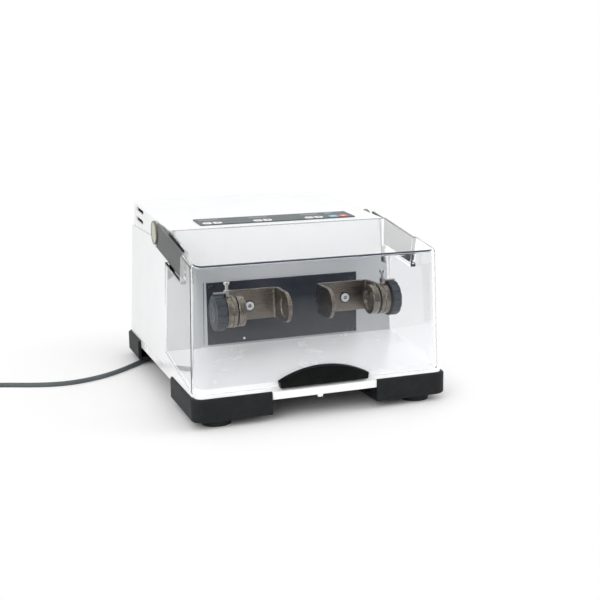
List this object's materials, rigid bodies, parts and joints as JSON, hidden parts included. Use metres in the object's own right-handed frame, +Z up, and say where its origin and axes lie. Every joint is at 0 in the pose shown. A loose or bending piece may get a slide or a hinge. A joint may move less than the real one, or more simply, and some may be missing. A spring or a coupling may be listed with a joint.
{
  "type": "laboratory mixer mill",
  "caption": "Bench-top mixer mill: two swinging jar holders with clamp knobs under a hinged clear hood, keypad on the sloping cover, corner bumpers and a mains cord.",
  "frame": {"origin": "on the bench under the middle of the mill, cord left out", "axes": "+X to the right as the user faces the mill, +Y to the rear, +Z up"},
  "size_m": [0.7419, 0.5582, 0.2658],
  "materials": {
    "white_cast": "powder coat on a casting",
    "white_enamel": "powder coat, light orange peel",
    "charcoal_plastic": "fine grained",
    "foot_rubber": "matt",
    "grey_enamel": "smooth satin",
    "dark_panel": "satin",
    "pin_steel": "turned",
    "cream_plastic": "moulded",
    "cast_metal": "as cast",
    "motor_black": "ribbed",
    "board_green": "laminate",
    "keypad_grey": "foil",
    "key_white": "foil dome",
    "key_blue": "foil dome",
    "key_red": "foil dome",
    "black_plastic": "moulded",
    "cord_grey": "extruded jacket",
    "clear_hood": "clear, polished, one moulding",
    "grip_black": "moulded",
    "arm_grey": "satin",
    "holder_steel": "bronzed, brushed",
    "zinc": "bright zinc",
    "bright_steel": "turned",
    "knob_slate": "satin"
  },
  "bodies": {
    "mill": {"base_tray": "white_cast", "bumper_front_left": "charcoal_plastic", "bumper_front_right": "charcoal_plastic", "bumper_rear_left": "charcoal_plastic", "bumper_rear_right": "charcoal_plastic", "feet": "foot_rubber", "housing_shell": "white_enamel", "top_cover": "white_enamel", "back_panel": "grey_enamel", "slot_plate": "dark_panel", "hinge_pins": "pin_steel", "pivot_cap_left": "cream_plastic", "pivot_cap_right": "cream_plastic", "pivot_shafts": "pin_steel", "drive_frame": "cast_metal", "motor": "motor_black", "control_board": "board_green", "keypad": "keypad_grey", "mains_inlet": "black_plastic", "fuse_drawer": "black_plastic", "switch_bezel": "black_plastic", "fan_frame": "black_plastic", "mains_connector": "black_plastic", "strain_relief": "black_plastic", "mains_cord": "cord_grey", "cord_coil": "cord_grey", "cord_plug": "black_plastic"},
    "hood": {"hood": "clear_hood", "hood_grip": "grip_black", "hood_arm_left": "arm_grey", "hood_arm_right": "arm_grey"},
    "eccentric_shaft": {"eccentric_shaft": "pin_steel", "flywheel": "pin_steel"},
    "fan_rotor": {"fan_rotor": "black_plastic"},
    "mains_switch": {"mains_switch": "black_plastic"},
    "holder_right": {"rocker_arm_right": "cast_metal", "holder_bracket_right": "holder_steel", "holder_screw_right": "zinc", "lock_pin_guide_right": "bright_steel"},
    "connecting_rod_right": {"connecting_rod_right": "cast_metal"},
    "clamp_disc_right": {"clamp_disc_right": "holder_steel"},
    "clamp_knob_right": {"clamp_knob_right": "knob_slate"},
    "lock_pin_right": {"lock_pin_right": "bright_steel"},
    "holder_left": {"rocker_arm_left": "cast_metal", "holder_bracket_left": "holder_steel", "holder_screw_left": "zinc", "lock_pin_guide_left": "bright_steel"},
    "connecting_rod_left": {"connecting_rod_left": "cast_metal"},
    "clamp_disc_left": {"clamp_disc_left": "holder_steel"},
    "clamp_knob_left": {"clamp_knob_left": "knob_slate"},
    "lock_pin_left": {"lock_pin_left": "bright_steel"},
    "key_1_minus": {"key_1_minus": "key_white"},
    "key_1_plus": {"key_1_plus": "key_white"},
    "key_2_minus": {"key_2_minus": "key_white"},
    "key_2_plus": {"key_2_plus": "key_white"},
    "key_3_minus": {"key_3_minus": "key_white"},
    "key_3_plus": {"key_3_plus": "key_white"},
    "start_key": {"start_key": "key_blue"},
    "stop_key": {"stop_key": "key_red"}
  },
  "joints": [
    {"name": "hood_hinge", "type": "hinge", "parent": "mill", "child": "hood", "pos_m": [0, 0.028, 0.2345], "axis": [-1, 0, 0], "range_deg": [0, 85]},
    {"name": "eccentric_spin", "type": "hinge", "parent": "mill", "child": "eccentric_shaft", "pos_m": [0, 0.056, 0.143], "axis": [0, 0, 1], "continuous": true},
    {"name": "fan_spin", "type": "hinge", "parent": "mill", "child": "fan_rotor", "pos_m": [0.07, 0.2, 0.12], "axis": [0, 1, 0], "continuous": true},
    {"name": "mains_switch_rock", "type": "hinge", "parent": "mill", "child": "mains_switch", "pos_m": [-0.045, 0.22075, 0.09035], "axis": [-1, 0, 0], "range_deg": [0, 14]},
    {"name": "swing_right", "type": "hinge", "parent": "mill", "child": "holder_right", "pos_m": [0.074, 0.012, 0.143], "axis": [0, 0, 1], "range_deg": [-3.5, 3.5]},
    {"name": "rod_pivot_right", "type": "hinge", "parent": "holder_right", "child": "connecting_rod_right", "pos_m": [0.074, 0.056, 0.143], "axis": [0, 0, 1], "range_deg": [-3.6, 3.6]},
    {"name": "knob_spin_right", "type": "hinge", "parent": "holder_right", "child": "clamp_knob_right", "pos_m": [0.1246, -0.158, 0.143], "axis": [1, 0, 0], "range_deg": [0, 1441]},
    {"name": "clamp_slide_right", "type": "slide", "parent": "holder_right", "child": "clamp_disc_right", "axis": [-1, 0, 0], "range_m": [0, 0.012]},
    {"name": "lock_pin_pull_right", "type": "slide", "parent": "holder_right", "child": "lock_pin_right", "axis": [0, 0, 1], "range_m": [0, 0.004], "stiffness_N_per_m": 400, "springref_m": -0.004},
    {"name": "swing_left", "type": "hinge", "parent": "mill", "child": "holder_left", "pos_m": [-0.074, 0.012, 0.143], "axis": [0, 0, 1], "range_deg": [-3.5, 3.5]},
    {"name": "rod_pivot_left", "type": "hinge", "parent": "holder_left", "child": "connecting_rod_left", "pos_m": [-0.074, 0.056, 0.143], "axis": [0, 0, 1], "range_deg": [-3.6, 3.6]},
    {"name": "knob_spin_left", "type": "hinge", "parent": "holder_left", "child": "clamp_knob_left", "pos_m": [-0.1246, -0.158, 0.143], "axis": [-1, 0, 0], "range_deg": [0, 1441]},
    {"name": "clamp_slide_left", "type": "slide", "parent": "holder_left", "child": "clamp_disc_left", "axis": [1, 0, 0], "range_m": [0, 0.012]},
    {"name": "lock_pin_pull_left", "type": "slide", "parent": "holder_left", "child": "lock_pin_left", "axis": [0, 0, 1], "range_m": [0, 0.004], "stiffness_N_per_m": 400, "springref_m": -0.004},
    {"name": "key_1_minus_press", "type": "slide", "parent": "mill", "child": "key_1_minus", "axis": [0, 0.0688, -0.9976], "range_m": [0, 0.0008], "stiffness_N_per_m": 900, "springref_m": -0.0005},
    {"name": "key_1_plus_press", "type": "slide", "parent": "mill", "child": "key_1_plus", "axis": [0, 0.0688, -0.9976], "range_m": [0, 0.0008], "stiffness_N_per_m": 900, "springref_m": -0.0005},
    {"name": "key_2_minus_press", "type": "slide", "parent": "mill", "child": "key_2_minus", "axis": [0, 0.0688, -0.9976], "range_m": [0, 0.0008], "stiffness_N_per_m": 900, "springref_m": -0.0005},
    {"name": "key_2_plus_press", "type": "slide", "parent": "mill", "child": "key_2_plus", "axis": [0, 0.0688, -0.9976], "range_m": [0, 0.0008], "stiffness_N_per_m": 900, "springref_m": -0.0005},
    {"name": "key_3_minus_press", "type": "slide", "parent": "mill", "child": "key_3_minus", "axis": [0, 0.0688, -0.9976], "range_m": [0, 0.0008], "stiffness_N_per_m": 900, "springref_m": -0.0005},
    {"name": "key_3_plus_press", "type": "slide", "parent": "mill", "child": "key_3_plus", "axis": [0, 0.0688, -0.9976], "range_m": [0, 0.0008], "stiffness_N_per_m": 900, "springref_m": -0.0005},
    {"name": "start_key_press", "type": "slide", "parent": "mill", "child": "start_key", "axis": [0, 0.0688, -0.9976], "range_m": [0, 0.0008], "stiffness_N_per_m": 900, "springref_m": -0.0005},
    {"name": "stop_key_press", "type": "slide", "parent": "mill", "child": "stop_key", "axis": [0, 0.0688, -0.9976], "range_m": [0, 0.0008], "stiffness_N_per_m": 900, "springref_m": -0.0005}
  ],
  "couplings": [
    {"joint": "knob_spin_right", "follows": "clamp_slide_right", "rad_per_m": 2094.4},
    {"joint": "knob_spin_left", "follows": "clamp_slide_left", "rad_per_m": 2094.4},
    {"joint": "swing_left", "follows": "swing_right", "ratio": -1},
    {"joint": "rod_pivot_right", "follows": "swing_right", "ratio": -1},
    {"joint": "rod_pivot_left", "follows": "swing_right", "ratio": 1}
  ]
}
